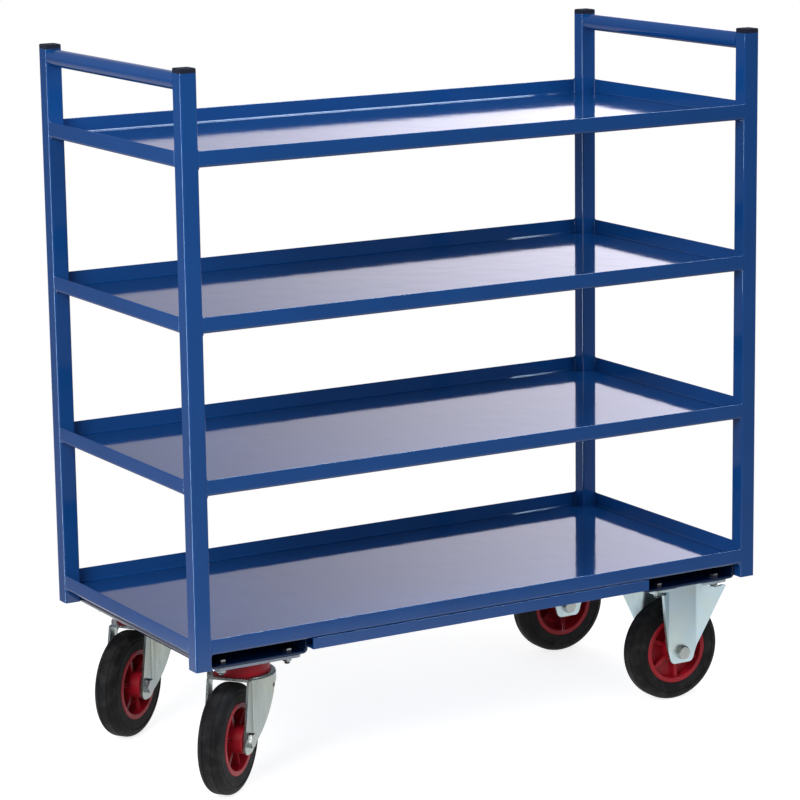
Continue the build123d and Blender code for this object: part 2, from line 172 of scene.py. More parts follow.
class StageSettings(PropertyGroup):
    key_power: amount("Key light", "Power of the softbox at the left", 44.0)
    top_power: amount("Top light", "Power of the softbox overhead", 31.0)
    low_sky: amount("Low sky", "Soft light from just above the horizon in front", 0.98)
    back_sky: amount("Back sky", "Soft light from just above the horizon behind", 1.4)
    high_sky: amount("High sky", "Soft light from overhead", 0.18)
    ground: amount("Ground", "Soft light from below the horizon", 0.05)
    room: amount("Room", "Brightness that gloss finds in the room in front", 0.24)
    backdrop: amount("Backdrop", "Brightness that gloss finds in the backdrop at the horizon", 1.7)
    upper_backdrop: amount("Upper backdrop", "Brightness that gloss finds in the backdrop higher up", 1.22)
    left_share: amount("Left share", "Share of the backdrop's brightness that is left at its left end", 0.45)
    right_share: amount("Right share", "Share of the backdrop's brightness that its right end has", 2.2)
    far_floor: amount("Far floor", "Brightness that gloss finds just below the horizon", 0.16)
    near_floor: amount("Near floor", "Brightness that gloss finds on the floor", 0.60)
    rear_floor: amount("Rear floor", "Brightness that gloss finds on the floor far behind", 0.05)
    floor_glow: amount("Floor glow", "White that the floor adds to its own light", 0.78)
    side_glint: amount("Side glint", "Brightness that gloss on upright edges finds at the left", 24.0)
    top_glint: amount("Top glint", "Brightness that gloss on the rims' edges finds overhead", 30.0)
    tint: colour("Backdrop tint", "Cool white that gloss finds in the studio", (0.91, 0.875, 1.0))
    glint_tint: colour("Glint tint", "Cool light that gloss on edges finds", (0.55, 0.78, 1.0))


class TrolleySettings(PropertyGroup):
    body: PointerProperty(type=FrameSizes, name="Frame", description="Sizes of posts, trays and base")
    castor: PointerProperty(type=CastorSizes, name="Castors", description="Sizes of the castors and fasteners")
    wheel: PointerProperty(type=WheelSizes, name="Wheels", description="Sizes of hubs and tyres")
    finish: PointerProperty(type=Finishes, name="Finishes", description="Colours of the finishes")
    stage: PointerProperty(type=StageSettings, name="Stage", description="Light and floor")


def settings():
    return bpy.context.scene.shelf_trolley


def set_all(item, **values):
    for name, value in values.items():
        setattr(item, name, value)
    return item


# Materials

class ShaderNodes:
    """The nodes of a material or a world; every input is a socket or a constant."""

    def __init__(self, owner):
        owner.use_nodes = True
        self.tree = owner.node_tree

    def add(self, kind, inputs=None, **options):
        node = set_all(self.tree.nodes.new("ShaderNode" + kind), **options)
        for key, value in (inputs or {}).items():
            self.feed(node.inputs[key], value)
        return node

    def feed(self, socket, value):
        if isinstance(value, bpy.types.NodeSocket):
            self.tree.links.new(value, socket)
        else:
            socket.default_value = value

    def math(self, operation, first, second=0.0):
        return self.add("Math", {0: first, 1: second}, operation=operation).outputs[0]

    def level(self, value, start, end, low, high, way="SMOOTHSTEP"):
        """Carry the range from start to end over to the range from low to high."""
        inputs = dict(enumerate((value, start, end, low, high)))
        return self.add("MapRange", inputs, interpolation_type=way).outputs[0]

    def choose(self, factor, first, second):
        return self.add("Mix", {0: factor, 2: first, 3: second}).outputs[0]

    def blend(self, factor, first, second):
        """Mix two colours, each a socket or three channels."""
        ends = [item if isinstance(item, bpy.types.NodeSocket) else (*item, 1) for item in (first, second)]
        return self.add("Mix", {0: factor, 6: ends[0], 7: ends[1]}, data_type="RGBA").outputs[2]

    def rays(self):
        """The kinds of ray, and whether a ray is mirrored or passes through."""
        kinds = self.add("LightPath").outputs
        return kinds, self.math("MAXIMUM", kinds["Is Glossy Ray"], kinds["Is Transmission Ray"])


class FinishNodes(ShaderNodes):
    """The nodes of one finish, wired from the piece's own coordinates."""

    def __init__(self, name):
        self.material = bpy.data.materials.new(name)
        super().__init__(self.material)
        self.surface = self.tree.nodes["Principled BSDF"]
        self.place = self.add("TexCoord").outputs["Object"]

    def noise(self, scale, detail=2.0, stretch=(1, 1, 1), vector=None):
        """Cloudy values round 0.5; stretch lengthens the clouds along an axis below 1."""
        mapping = self.add("Mapping", {"Vector": vector or self.place, "Scale": stretch})
        cloud = self.add("TexNoise", {"Vector": mapping.outputs[0], "Scale": scale, "Detail": detail})
        return cloud.outputs["Fac"]

    def spread(self, value, low, high, start=0.3, end=0.7):
        return self.level(value, start, end, low, high, "LINEAR")

    def bump(self, height, depth, strength=1.0, under=None):
        inputs = {"Strength": strength, "Distance": depth, "Height": height}
        if under:
            inputs["Normal"] = under
        return self.add("Bump", inputs).outputs[0]

    def set(self, **values):
        for name, value in values.items():
            key = "IOR" if name == "ior" else name.replace("_", " ").title()
            self.feed(self.surface.inputs[key], value)


def shade(tint, factor):
    return tuple(min(1.0, channel * factor) for channel in tint)


def gloss_paint(name, tint):
    """Powder coat: gloss blue with a faint orange peel and clouds of slightly deeper blue."""
    nodes = FinishNodes(name)
    clouds = nodes.spread(nodes.noise(9, 3), 0, 1)
    peel = nodes.noise(420, 2)
    waves = nodes.noise(22, 1)
    nodes.set(base_color=nodes.blend(clouds, shade(tint, 0.94), shade(tint, 1.06)))
    nodes.set(roughness=nodes.spread(nodes.noise(60, 3), 0.06, 0.09), ior=1.5)
    nodes.set(normal=nodes.bump(peel, 0.00003, 0.35, nodes.bump(waves, 0.0003, 0.5)))
    return nodes.material


def plated(name, tint, low, high, grain):
    """Zinc plating: fine drawn grain and clouds of colour from the passivation."""
    nodes = FinishNodes(name)
    clouds = nodes.spread(nodes.noise(28, 4), 0, 1)
    cool = (tint[0] * 0.95, tint[1] * 1.0, tint[2] * 1.03)
    warm = (tint[0] * 1.0, tint[1] * 0.99, tint[2] * 0.9)
    nodes.set(base_color=nodes.blend(clouds, cool, warm), metallic=1.0)
    drawn = nodes.noise(260, 3, (1, 1, 0.12))
    speckle = nodes.noise(900, 2)
    nodes.set(roughness=nodes.spread(drawn, low, high))
    nodes.set(normal=nodes.bump(speckle, 0.00004, grain, nodes.bump(drawn, 0.00003, grain)))
    return nodes.material


def moulded(name, tint, low, high, texture, ior=1.48):
    """Moulded plastic: an even colour with soft flow clouds and a fine mould texture."""
    nodes = FinishNodes(name)
    flow = nodes.spread(nodes.noise(45, 3), 0, 1)
    nodes.set(base_color=nodes.blend(flow, shade(tint, 0.88), shade(tint, 1.12)))
    nodes.set(roughness=nodes.spread(nodes.noise(110, 3), low, high), ior=ior)
    nodes.set(normal=nodes.bump(nodes.noise(1300, 2), 0.00004, texture))
    return nodes.material


def polished(name, tint):
    """Bearing steel with faint running marks."""
    nodes = FinishNodes(name)
    marks = nodes.noise(300, 3)
    nodes.set(base_color=nodes.blend(nodes.spread(marks, 0, 1), shade(tint, 0.94), tint), metallic=1.0)
    nodes.set(roughness=nodes.spread(marks, 0.12, 0.22))
    return nodes.material


dust_tint = (0.055, 0.055, 0.052)


def rubber(name, tint, wheel):
    """Tyre rubber with rings of wear round the axle, dust and a fine skin."""
    nodes = FinishNodes(name)
    local = wheel.inverted()
    centred = nodes.add("Mapping", {"Vector": nodes.place, "Location": local.to_translation(),
                                    "Rotation": local.to_euler()})
    along = nodes.add("SeparateXYZ", {0: centred.outputs[0]}).outputs
    radius = nodes.math("SQRT", nodes.math("ADD", *[nodes.math("POWER", along[axis], 2) for axis in (0, 1)]))
    ringed = nodes.add("CombineXYZ", {0: radius, 1: along[2]})
    rings = nodes.noise(420, 3, vector=ringed.outputs[0])
    dust = nodes.spread(nodes.noise(55, 5), 0, 1, 0.45, 0.75)
    worn = nodes.blend(nodes.spread(rings, 0, 1, 0.35, 0.7), shade(tint, 0.8), shade(tint, 1.5))
    nodes.set(base_color=nodes.blend(nodes.spread(dust, 0, 0.35, 0, 1), worn, dust_tint))
    nodes.set(roughness=nodes.spread(rings, 0.62, 0.78), ior=1.27)
    skin = nodes.bump(nodes.noise(1500, 2), 0.00005, 0.4)
    nodes.set(normal=nodes.bump(rings, 0.0002, 0.5, skin))
    return nodes.material


# The maker of each finish, and what it takes: least and greatest roughness, grain and refractive index
finish_makers = {
    "blue_paint": (gloss_paint,),
    "channel_paint": (gloss_paint,),
    "castor_zinc": (plated, 0.32, 0.46, 0.5),
    "fork_zinc": (plated, 0.22, 0.34, 0.5),
    "plate_zinc": (plated, 0.22, 0.34, 0.5),
    "bolt_zinc": (plated, 0.16, 0.28, 0.3),
    "ball_steel": (polished,),
    "cap_plastic": (moulded, 0.80, 0.90, 1.0, 1.3),
    "bush_plastic": (moulded, 0.45, 0.60, 0.4),
    "ring_plastic": (moulded, 0.40, 0.54, 0.35, 1.38),
    "hub_plastic": (moulded, 0.40, 0.54, 0.35, 1.38),
}


def finish(slot):
    """The material of a finish, made when it is first asked for."""
    name = slot + "_finish"
    made = bpy.data.materials.get(name)
    if not made:
        maker, *values = finish_makers[slot]
        made = maker(name, tuple(getattr(settings().finish, slot)), *values)
    return made


# Mesh helpers

def picked(geometry, kind):
    return [item for item in geometry if isinstance(item, kind)]


def raise_faces(bm, faces, offset=(0, 0, 0)):
    """Extrude a region of faces and return the faces at its new end."""
    made = bmesh.ops.extrude_face_region(bm, geom=faces)["geom"]
    bmesh.ops.translate(bm, vec=offset, verts=picked(made, bmesh.types.BMVert))
    return picked(made, bmesh.types.BMFace)


def rim_verts(faces):
    return list({vert for face in faces for vert in face.verts})


def rounded_rectangle(bm, width, depth, corner, segments=6):
    """A flat rounded rectangle in the XY plane."""
    made = bmesh.ops.create_grid(bm, x_segments=1, y_segments=1, size=0.5)
    bmesh.ops.scale(bm, vec=(width, depth, 1), verts=made["verts"])
    bmesh.ops.bevel(bm, geom=made["verts"], offset=corner, segments=segments, profile=0.5, affect="VERTICES",
                    material=-1)
    return bm.faces[:]


def tube(bm, outline, wall, height):
    """Hollow an outline face by its wall and draw it up into a tube."""
    bmesh.ops.inset_region(bm, faces=outline, thickness=wall, use_even_offset=True, use_boundary=True)
    bmesh.ops.delete(bm, geom=outline, context="FACES_ONLY")
    raise_faces(bm, bm.faces[:], (0, 0, height))


def place(bm, matrix):
    bmesh.ops.transform(bm, matrix=matrix, verts=bm.verts[:])


def repeat(bm, places):
    """Copies of everything in the mesh, one at each place."""
    first = bm.verts[:] + bm.edges[:] + bm.faces[:]
    for matrix in places[1:]:
        made = bmesh.ops.duplicate(bm, geom=first)["geom"]
        bmesh.ops.transform(bm, matrix=matrix, verts=picked(made, bmesh.types.BMVert))
    bmesh.ops.transform(bm, matrix=places[0], verts=picked(first, bmesh.types.BMVert))


def turned(profile, steps=96, closed=True):
    """A profile of (radius, height) points spun about the Z axis."""
    bm = bmesh.new()
    points = [bm.verts.new((radius, 0, height)) for radius, height in profile]
    lines = [bm.edges.new(pair) for pair in zip(points, points[1:])]
    if closed:
        lines.append(bm.edges.new((points[-1], points[0])))
    bmesh.ops.spin(bm, geom=points + lines, cent=(0, 0, 0), axis=(0, 0, 1), angle=math.tau, steps=steps,
                   use_merge=True)
    return bm


def copy_of(node):
    """A CAD node's mesh with its triangles joined into whole faces."""
    bm = bmesh.new()
    bm.from_mesh(frame["nodes"][node].data)
    bmesh.ops.remove_doubles(bm, verts=bm.verts[:], dist=2 * touching)
    bmesh.ops.dissolve_limit(bm, angle_limit=math.radians(0.5), verts=bm.verts[:], edges=bm.edges[:])
    return bm


def add_piece(name, bm, body, slot, nodes=(), edge=0.0, sheet=0.0, material=None, outward=True):
    """Turn a bmesh into a piece that rides on a body and stands for CAD nodes."""
    bmesh.ops.remove_doubles(bm, verts=bm.verts[:], dist=touching)
    if outward:
        bmesh.ops.recalc_face_normals(bm, faces=bm.faces[:])
    for face in bm.faces:
        face.smooth = True
    mesh = bpy.data.meshes.new(name)
    bm.to_mesh(mesh)
    bm.free()
    mesh.set_sharp_from_angle(angle=sharp_angle)
    mesh.materials.append(material or finish(slot))
    piece = bpy.data.objects.new(name, mesh)
    bpy.context.scene.collection.objects.link(piece)
    if sheet:
        set_all(piece.modifiers.new("Sheet", "SOLIDIFY"), thickness=sheet, offset=-1, use_even_offset=True)
    if edge:
        set_all(piece.modifiers.new("Edges", "BEVEL"), width=edge, segments=2, limit_method="ANGLE",
                angle_limit=sharp_angle)
    set_all(piece.modifiers.new("Normals", "WEIGHTED_NORMAL"), keep_sharp=True)
    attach(piece, body)
    if nodes:
        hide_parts(*nodes)
    return piece


def add_pressing(name, node, body, zinc):
    """A CAD node's own shape with rounded cut edges, as a plated piece."""
    add_piece(name, copy_of(node), body, "castor_zinc", [node], edge=settings().castor.pressed_edge,
              material=finish(zinc), outward=False)


def fold_up(bm, folds, height, bend, segments):
    """Turn a sheet's edges up with a round bend, and its underside to look down."""
    made = bmesh.ops.extrude_edge_only(bm, edges=folds)["geom"]
    bmesh.ops.translate(bm, vec=(0, 0, height), verts=picked(made, bmesh.types.BMVert))
    bmesh.ops.bevel(bm, geom=folds, offset=bend, segments=segments, profile=0.5, affect="EDGES", material=-1)
    bmesh.ops.recalc_face_normals(bm, faces=bm.faces[:])
    lowest = min(bm.faces, key=lambda face: face.calc_center_median().z)
    if lowest.normal.z > 0:
        bmesh.ops.reverse_faces(bm, faces=bm.faces[:])


def middle(node):
    low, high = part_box(node)
    return (low + high) / 2


def axle_place(side, kind):
    """The axle's middle and heading: local Z runs along the axle towards the back."""
    centre = Vector(joint_table[f"{side}_{kind}_wheel_spin"]["pos_m"])
    heading = 0.0
    if kind == "swivel":
        lead = Vector(joint_table[f"{side}_castor_swivel"]["pos_m"]) - centre
        heading = math.atan2(lead.y, lead.x)
    return Matrix.Translation(centre) @ Matrix.Rotation(heading, 4, "Z")


def wheel_place(side, kind):
    """The wheel's place: local Z along the axle, local X along its first rib."""
    sizes = settings().wheel
    turn = sizes.swivel_turn if kind == "swivel" else sizes.fixed_turn
    return axle_place(side, kind) @ Matrix.Rotation(turn, 4, "Y") @ Matrix.Rotation(-math.pi / 2, 4, "X")


# Fasteners

def hexagon_radius(vert, flats):
    """How far a hexagon's edge is from its middle in the direction of a vertex."""
    turn = math.atan2(vert.co.y, vert.co.x) % (math.pi / 3) - math.pi / 6
    return flats / 2 / math.cos(turn)


def set_radius(faces, radius):
    for vert in rim_verts(faces):
        flat = Vector((vert.co.x, vert.co.y, 0))
        flat *= radius / flat.length
        vert.co.x, vert.co.y = flat.x, flat.y


hex_face = 0.95
hex_slope = math.tan(math.radians(30))


def hex_blank(bm, flats, height):
    """A hexagon from Z = 0 up, with its upper corners turned off to a cone."""
    made = bmesh.ops.create_circle(bm, cap_ends=True, segments=48, radius=flats / 2)
    for vert in made["verts"]:
        vert.co *= hexagon_radius(vert, flats) / (flats / 2)
    foot = bm.faces[:]
    top = raise_faces(bm, foot, (0, 0, height))
    turned_radius = flats / 2 * hex_face
    for vert in rim_verts(top):
        vert.co.z = height - (vert.co.xy.length - turned_radius) * hex_slope
    top = raise_faces(bm, top)
    set_radius(top, turned_radius)
    for vert in rim_verts(top):
        vert.co.z = height
    return foot, top


thread_flank, thread_root, thread_depth = 0.4, 0.2, 0.45


def threaded_end(bm, faces, radius, pitch, turns):
    """Turn a shank's end into a few thread grooves and a chamfered tip."""
    flank = (0, 0, -pitch * thread_flank)
    for _ in range(turns):
        faces = raise_faces(bm, faces, flank)
        set_radius(faces, radius - pitch * thread_depth)
        faces = raise_faces(bm, faces, (0, 0, -pitch * thread_root))
        faces = raise_faces(bm, faces, flank)
        set_radius(faces, radius)
    faces = raise_faces(bm, faces, flank)
    set_radius(faces, radius - pitch * thread_flank)


def hex_bolt(diameter, flats, head, reach, pitch, turns):
    """A bolt: head from Z = 0 up, shank down to -reach with threads at its end."""
    bm = bmesh.new()
    seat = raise_faces(bm, hex_blank(bm, flats, head)[0])
    set_radius(seat, diameter / 2)
    shank = raise_faces(bm, seat, (0, 0, -(reach - pitch * (turns + thread_flank))))
    threaded_end(bm, shank, diameter / 2, pitch, turns)
    return bm


def hex_nut(diameter, flats, height):
    """A nut from Z = 0 up with a plain bore."""
    bm = bmesh.new()
    foot, top = hex_blank(bm, flats, height)
    rings = []
    for faces in (foot, top):
        inner = raise_faces(bm, faces)
        set_radius(inner, diameter / 2)
        rings += [edge for face in inner for edge in face.edges]
        bmesh.ops.delete(bm, geom=inner, context="FACES_ONLY")
    bmesh.ops.bridge_loops(bm, edges=rings)
    return bm


def bolt_places(height, flip):
    """Every plate bolt's place at this height, head or nut turned over where asked."""
    sizes = settings().castor
    turn = Matrix.Rotation(math.pi if flip else 0, 4, "X")
    found = []
    for side, kind in castors:
        centre = middle(f"{side}_swivel_plate" if kind == "swivel" else f"{side}_fixed_bracket")
        for x in (-1, 1):
            for y in (-1, 1):
                spot = (centre.x + x * sizes.bolt_spacing_x / 2,
                        centre.y + y * sizes.bolt_spacing_y / 2, height)
                found.append(Matrix.Translation(spot) @ turn)
    return found


# Welds

bead_tip, bead_sink = 0.45, 1.15
bead_ripples = ((0.10, 2.4), (0.05, 5.1))
under_drop, under_size = 0.6, 1.3


def weld_bead(bm, start, end, radius, step):
    """A rippled bead with narrow ends, laid from one point to another."""
    start, end = Vector(start), Vector(end)
    run = end - start
    count = max(4, round(run.length / step))
    lay = run.to_track_quat("Z", "Y").to_matrix().to_4x4()
    whole = bmesh.ops.create_circle(bm, cap_ends=True, segments=12, radius=radius * bead_tip)["verts"]
    faces = list(whole[0].link_faces)
    for index in range(count + 1):
        swell = 1 + sum(size * math.sin(index * rate) for size, rate in bead_ripples)
        faces = raise_faces(bm, faces, (0, 0, run.length / (count + 1)))
        set_radius(faces, radius * (swell if index < count else bead_tip))
        whole += rim_verts(faces)
    bmesh.ops.transform(bm, matrix=Matrix.Translation(start) @ lay, verts=whole)


# Operators

class TROLLEY_OT_posts(Operator):
    """Draw the four square tube posts"""
    bl_idname = "trolley.posts"
    bl_label = "Posts"

    def execute(self, context):
        sizes = settings().body
        for corner in corners:
            low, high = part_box(f"post_{corner}")
            bm = bmesh.new()
            outline = rounded_rectangle(bm, high.x - low.x, high.y - low.y, sizes.tube_corner)
            tube(bm, outline, sizes.tube_wall, high.z - low.z)
            place(bm, Matrix.Translation(((low.x + high.x) / 2, (low.y + high.y) / 2, low.z)))
            add_piece(f"{corner}_post", bm, "frame", "blue_paint", [f"post_{corner}"])
        return {"FINISHED"}


cap_crown = 0.72


class TROLLEY_OT_caps(Operator):
    """Mould the plug caps of the posts"""
    bl_idname = "trolley.caps"
    bl_label = "Caps"

    def execute(self, context):
        sizes = settings().body
        low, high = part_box("post_front_left")
        plug_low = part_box("post_caps")[0]
        width = high.x - low.x
        rise = sizes.cap_chamfer
        bm = bmesh.new()
        foot = rounded_rectangle(bm, width, width, sizes.tube_corner)
        straight = sizes.cap_head - rise - sizes.cap_dome
        top = raise_faces(bm, foot, (0, 0, straight))
        top = raise_faces(bm, top, (0, 0, rise))
        narrow = (width - 2 * rise) / width
        bmesh.ops.scale(bm, vec=(narrow, narrow, 1), verts=rim_verts(top))
        top = raise_faces(bm, top, (0, 0, sizes.cap_dome))
        bmesh.ops.scale(bm, vec=(cap_crown, cap_crown, 1), verts=rim_verts(top))
        plug = raise_faces(bm, foot)
        share = sizes.cap_plug / width
        bmesh.ops.scale(bm, vec=(share, share, 1), verts=rim_verts(plug))
        raise_faces(bm, plug, (0, 0, plug_low.z - high.z))
        spots = [middle(f"post_{corner}") for corner in corners]
        repeat(bm, [Matrix.Translation((spot.x, spot.y, high.z)) for spot in spots])
        add_piece("post_plugs", bm, "frame", "cap_plastic", ["post_caps"], edge=sizes.sheet_edge)
        return {"FINISHED"}


class TROLLEY_OT_handles(Operator):
    """Draw the round handle tube across each end"""
    bl_idname = "trolley.handles"
    bl_label = "Handles"

    def execute(self, context):
        sizes = settings().body
        for end in ("left", "right"):
            low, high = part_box(f"handle_{end}")
            bm = bmesh.new()
            bmesh.ops.create_circle(bm, cap_ends=True, segments=72, radius=(high.x - low.x) / 2)
            tube(bm, bm.faces[:], sizes.tube_wall, high.y - low.y)
            centre = (low + high) / 2
            lay = Matrix.Translation((centre.x, low.y, centre.z)) @ Matrix.Rotation(-math.pi / 2, 4, "X")
            place(bm, lay)
            add_piece(f"{end}_handle", bm, "frame", "blue_paint", [f"handle_{end}"])
        return {"FINISHED"}


class TROLLEY_OT_trays(Operator):
    """Fold the four trays from sheet, notched for the posts"""
    bl_idname = "trolley.trays"
    bl_label = "Trays"

    def execute(self, context):
        sizes = settings().body
        post_low, post_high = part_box("post_front_left")
        notch = post_high.x - post_low.x
        for level in levels:
            low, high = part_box(f"shelf_{level}")
            bm = bmesh.new()
            bmesh.ops.create_grid(bm, x_segments=3, y_segments=3, size=1)
            for vert in bm.verts:
                for axis in (0, 1):
                    reach = high[axis] if abs(vert.co[axis]) > 0.9 else high[axis] - notch
                    vert.co[axis] = math.copysign(reach, vert.co[axis])
                vert.co.z = low.z
            ends = [face for face in bm.faces if is_corner(face, high, notch)]
            bmesh.ops.delete(bm, geom=ends, context="FACES")
            folds = [edge for edge in bm.edges if on_border(edge, high)]
            fold_up(bm, folds, high.z - low.z, sizes.tray_bend, 5)
            add_piece(f"{level}_tray", bm, "frame", "blue_paint", [f"shelf_{level}"], edge=sizes.sheet_edge,
                      sheet=sizes.tray_sheet, outward=False)
        return {"FINISHED"}


def is_corner(face, high, notch):
    spot = face.calc_center_median()
    return abs(spot.x) > high.x - notch and abs(spot.y) > high.y - notch


def on_border(edge, high):
    spots = [vert.co for vert in edge.verts]
    return any(all(abs(abs(spot[axis]) - high[axis]) < slack for spot in spots) for axis in (0, 1))


class TROLLEY_OT_base(Operator):
    """Fold the castor channels and draw the rails between them"""
    bl_idname = "trolley.base"
    bl_label = "Base"

    def execute(self, context):
        sizes = settings().body
        for end in ("left", "right"):
            low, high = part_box(f"castor_channel_{end}")
            bm = bmesh.new()
            bmesh.ops.create_grid(bm, x_segments=1, y_segments=1, size=0.5)
            bmesh.ops.scale(bm, vec=(high.x - low.x, high.y - low.y, 1), verts=bm.verts[:])
            folds = [edge for edge in bm.edges if abs(edge.verts[0].co.x - edge.verts[1].co.x) < touching]
            fold_up(bm, folds, high.z - low.z, sizes.channel_bend, 8)
            place(bm, Matrix.Translation(((low.x + high.x) / 2, (low.y + high.y) / 2, low.z)))
            # The channels take the darkened blue, painted shade for their recess under the trays
            add_piece(f"{end}_channel", bm, "frame", "blue_paint", [f"castor_channel_{end}"],
                      edge=sizes.sheet_edge, sheet=sizes.channel_sheet, material=finish("channel_paint"),
                      outward=False)
        for side in sides:
            low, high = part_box(f"base_rail_{side}")
            bm = bmesh.new()
            outline = rounded_rectangle(bm, high.z - low.z, high.y - low.y, sizes.rail_corner)
            tube(bm, outline, sizes.tube_wall, high.x - low.x)
            centre = (low + high) / 2
            lay = Matrix.Translation((low.x, centre.y, centre.z)) @ Matrix.Rotation(math.pi / 2, 4, "Y")
            place(bm, lay)
            add_piece(f"{side}_rail", bm, "frame", "blue_paint", [f"base_rail_{side}"])
        return {"FINISHED"}


class TROLLEY_OT_welds(Operator):
    """Lay the painted weld beads between posts and trays"""
    bl_idname = "trolley.welds"
    bl_label = "Welds"

    def execute(self, context):
        sizes = settings().body
        radius, step = sizes.weld_radius, sizes.weld_step
        bm = bmesh.new()
        for corner in corners:
            low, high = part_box(f"post_{corner}")
            out_x, in_x = (low.x, high.x) if corner.endswith("left") else (high.x, low.x)
            out_y, in_y = (low.y, high.y) if corner.startswith("front") else (high.y, low.y)
            sink_x = math.copysign(bead_sink * radius, -out_x)
            sink_y = math.copysign(bead_sink * radius, -out_y)
            for level in levels:
                tray_low, tray_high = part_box(f"shelf_{level}")
                foot, top = tray_low.z, tray_high.z + radius
                for x, y in ((in_x, out_y + sink_y), (out_x + sink_x, in_y)):
                    weld_bead(bm, (x, y, foot), (x, y, top), radius, step)
                under = tray_low.z - radius * under_drop
                for spot in ((in_x, out_y + sink_y, under), (out_x + sink_x, in_y, under)):
                    weld_bead(bm, spot, (in_x, in_y, under), radius * under_size, step)
        add_piece("tray_welds", bm, "frame", "blue_paint")
        return {"FINISHED"}


class TROLLEY_OT_plate_fasteners(Operator):
    """Turn the bolts and nuts that hold the castor plates"""
    bl_idname = "trolley.plate_fasteners"
    bl_label = "Plate fasteners"

    def execute(self, context):
        sizes = settings().castor
        channel_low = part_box("castor_channel_left")[0]
        web_top = channel_low.z + settings().body.channel_sheet
        plate_bottom = channel_low.z - sizes.plate_sheet
        reach = web_top - plate_bottom + sizes.bolt_nut + sizes.bolt_end
        bm = hex_bolt(sizes.bolt_diameter, sizes.bolt_flats, sizes.bolt_head, reach, sizes.bolt_pitch, 3)
        repeat(bm, bolt_places(web_top, False))
        add_piece("castor_bolts", bm, "frame", "bolt_zinc", ["plate_bolts"])
        bm = hex_nut(sizes.bolt_diameter, sizes.bolt_flats, sizes.bolt_nut)
        repeat(bm, bolt_places(plate_bottom, True))
        add_piece("castor_nuts", bm, "frame", "bolt_zinc", ["plate_nuts"])
        return {"FINISHED"}


# The dust ring's outline in millimetres: out from the foot's edge, and up from its foot or down from its top
ring_foot = ((-3.0, 0), (1.0, 0), (1.4, 1.0), (1.2, 2.2), (0, 3.0))
ring_top = ((-0.4, 2.2), (-0.7, 0.7), (-1.2, 0), (-2.7, 0), (-3.0, 0.6))


class TROLLEY_OT_swivel_heads(Operator):
    """Finish the swivel plates and mould the dust rings below them"""
    bl_idname = "trolley.swivel_heads"
    bl_label = "Swivel heads"

    def execute(self, context):
        for side in sides:
            # The swivel plates take the darkened zinc, painted shade
            add_pressing(f"{side}_top_plate", f"{side}_swivel_plate", "frame", "plate_zinc")
            name = f"{side}_swivel_dust_ring"
            low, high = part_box(name)
            foot = (high.x - low.x) / 2
            profile = [(foot + out * mm, low.z + up * mm) for out, up in ring_foot]
            profile += [(foot + out * mm, high.z - down * mm) for out, down in ring_top]
            bm = turned(profile)
            centre = (low + high) / 2
            place(bm, Matrix.Translation((centre.x, centre.y, 0)))
            add_piece(f"{side}_dust_cover", bm, f"{side}_swivel", "ring_plastic", [name])
        return {"FINISHED"}


class TROLLEY_OT_forks(Operator):
    """Finish the pressed forks of the swivel castors"""
    bl_idname = "trolley.forks"
    bl_label = "Forks"

    def execute(self, context):
        for side in sides:
            # The forks take the darker zinc, partly painted shade
            add_pressing(f"{side}_pressed_fork", f"{side}_swivel_fork", f"{side}_swivel", "fork_zinc")
        return {"FINISHED"}


class TROLLEY_OT_brackets(Operator):
    """Finish the bent brackets of the fixed castors"""
    bl_idname = "trolley.brackets"
    bl_label = "Brackets"

    def execute(self, context):
        for side in sides:
            add_pressing(f"{side}_bent_bracket", f"{side}_fixed_bracket", "frame", "castor_zinc")
        return {"FINISHED"}


class TROLLEY_OT_axles(Operator):
    """Turn the axle bolts and nuts of all four castors"""
    bl_idname = "trolley.axles"
    bl_label = "Axles"

    def execute(self, context):
        sizes = settings().castor
        for side, kind in castors:
            leg_body = f"{side}_swivel" if kind == "swivel" else "frame"
            leg = sizes.fork_sheet if kind == "swivel" else sizes.plate_sheet
            seat = sizes.fork_gap / 2 + leg
            lay = axle_place(side, kind)
            reach = 2 * seat + sizes.axle_nut + sizes.axle_end
            bm = hex_bolt(sizes.axle_diameter, sizes.axle_flats, sizes.axle_head, reach, sizes.axle_pitch, 2)
            place(bm, lay @ Matrix.Translation((0, -seat, 0)) @ Matrix.Rotation(math.pi / 2, 4, "X"))
            add_piece(f"{side}_{kind}_axle", bm, leg_body, "bolt_zinc", [f"{side}_{kind}_axle_bolt"])
            bm = hex_nut(sizes.axle_diameter, sizes.axle_flats, sizes.axle_nut)
            place(bm, lay @ Matrix.Translation((0, seat, 0)) @ Matrix.Rotation(-math.pi / 2, 4, "X"))
            add_piece(f"{side}_{kind}_lock_nut", bm, leg_body, "bolt_zinc", [f"{side}_{kind}_axle_nut"])
        return {"FINISHED"}


class TROLLEY_OT_wheels(Operator):
    """Mould the ribbed hubs and the tyres on them"""
    bl_idname = "trolley.wheels"
    bl_label = "Wheels"

    def execute(self, context):
        for side, kind in castors:
            wheel_body = f"{side}_{kind}_wheel"
            lay = wheel_place(side, kind)
            bm = hub_shape()
            place(bm, lay)
            add_piece(f"{side}_{kind}_ribbed_hub", bm, wheel_body, "hub_plastic", [f"{side}_{kind}_hub"])
            bm = tyre_shape()
            place(bm, lay)
            name = f"{side}_{kind}_tyre"
            skin = rubber(name + "_rubber", tuple(settings().finish.tyre_rubber), lay)
            add_piece(f"{side}_{kind}_solid_tyre", bm, wheel_body, "tyre_rubber", [name], material=skin)
        return {"FINISHED"}


def off_rib(spot, pitch):
    """The turn about the axle from the nearest rib to a point."""
    turn = math.atan2(spot.y, spot.x)
    return turn - round(turn / pitch) * pitch


def beside_rib(vert, half, pitch):
    """Slide a vertex round the axle to the given distance from the middle of its rib."""
    radius = vert.co.xy.length
    away = off_rib(vert.co, pitch)
    exact = math.atan2(vert.co.y, vert.co.x) - away + math.copysign(math.asin(half / radius), away)
    vert.co.x, vert.co.y = radius * math.cos(exact), radius * math.sin(exact)


